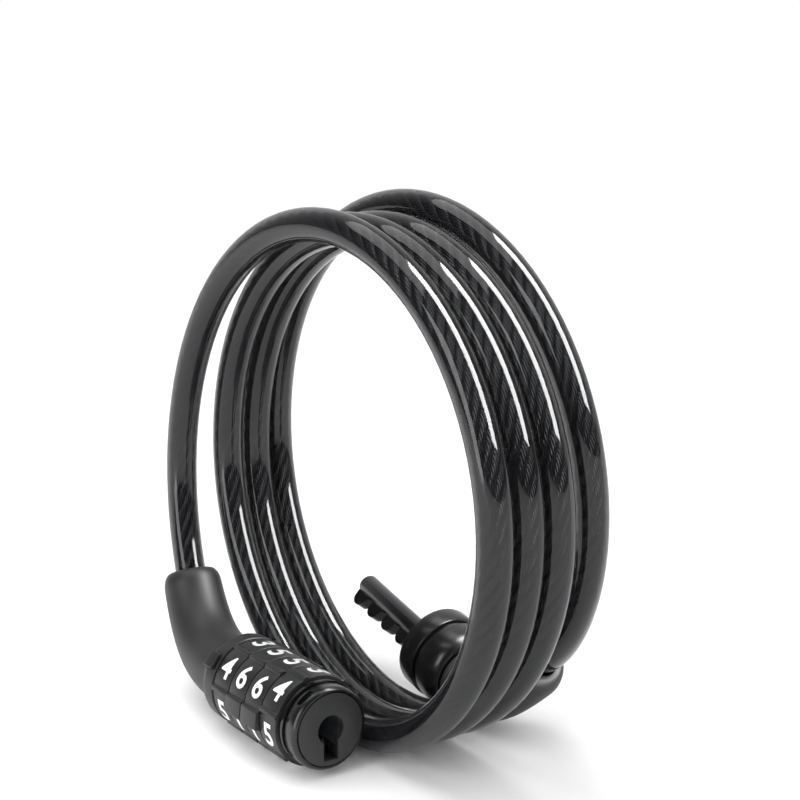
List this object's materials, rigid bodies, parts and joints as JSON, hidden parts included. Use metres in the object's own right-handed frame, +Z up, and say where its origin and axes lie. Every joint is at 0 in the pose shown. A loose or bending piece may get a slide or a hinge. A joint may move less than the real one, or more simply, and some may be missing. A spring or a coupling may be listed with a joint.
{
  "type": "self-coiling combination cable lock",
  "caption": "Coiled steel cable in a smoked clear sheath, ending in a combination lock head with numbered dials and in a toothed locking bolt.",
  "frame": {"origin": "on the surface it stands on, under the middle of the box round the lock head, the bolt and their boots", "axes": "+X along the lock head's axis, from its boot towards its keyhole face; +Y from the lock head towards the bolt, along the coil's axis; +Z up"},
  "size_m": [0.1321, 0.0738, 0.1313],
  "materials": {
    "sheath": "clear smoked PVC, glossy, over a steel rope",
    "boot": "satin moulded PVC elbow",
    "housing": "satin charcoal moulded plastic",
    "bolt_collar": "satin charcoal moulded plastic",
    "dial": "satin charcoal moulded plastic, white numerals",
    "neck": "gloss black",
    "cast_core": "die-cast zinc alloy, as cast",
    "spring_steel": "bright spring steel",
    "steel_pin": "bright steel",
    "rope": "twisted steel rope",
    "bolt_steel": "dark plated steel, satin"
  },
  "bodies": {
    "root": {"cable_head_run": "sheath", "cable_coil": "sheath", "cable_bolt_run": "sheath", "head_boot": "boot", "bolt_boot": "boot", "rear_housing": "housing", "index_pad": "housing", "core_tube": "cast_core", "core_pin": "steel_pin", "stack_spring": "spring_steel", "detent_spring": "spring_steel", "end_flange": "neck", "end_cap": "housing", "end_cap_pin": "steel_pin", "head_ferrule": "steel_pin", "head_rope_end": "rope", "bolt_shaft": "bolt_steel", "bolt_ring": "bolt_collar", "bolt_cap": "bolt_collar", "bolt_pin": "steel_pin", "bolt_ferrule": "steel_pin", "bolt_rope_end": "rope"},
    "dial_1": {"dial_1": "dial", "tumbler_1": "cast_core"},
    "dial_2": {"dial_2": "dial", "tumbler_2": "cast_core"},
    "dial_3": {"dial_3": "dial", "tumbler_3": "cast_core"},
    "dial_4": {"dial_4": "dial", "tumbler_4": "cast_core"},
    "code_change_collar": {"code_change_collar": "housing"}
  },
  "joints": [
    {"name": "dial_1_turn", "type": "hinge", "parent": "root", "child": "dial_1", "pos_m": [0.00133, -0.02482, 0.01161], "axis": [1, 0, 0], "continuous": true},
    {"name": "dial_2_turn", "type": "hinge", "parent": "root", "child": "dial_2", "pos_m": [0.00873, -0.02482, 0.01161], "axis": [1, 0, 0], "continuous": true},
    {"name": "dial_3_turn", "type": "hinge", "parent": "root", "child": "dial_3", "pos_m": [0.01613, -0.02482, 0.01161], "axis": [1, 0, 0], "continuous": true},
    {"name": "dial_4_turn", "type": "hinge", "parent": "root", "child": "dial_4", "pos_m": [0.02353, -0.02482, 0.01161], "axis": [1, 0, 0], "continuous": true},
    {"name": "code_change_collar_turn", "type": "hinge", "parent": "root", "child": "code_change_collar", "pos_m": [0.03123, -0.02482, 0.01161], "axis": [1, 0, 0], "range_deg": [0, 90]}
  ]
}
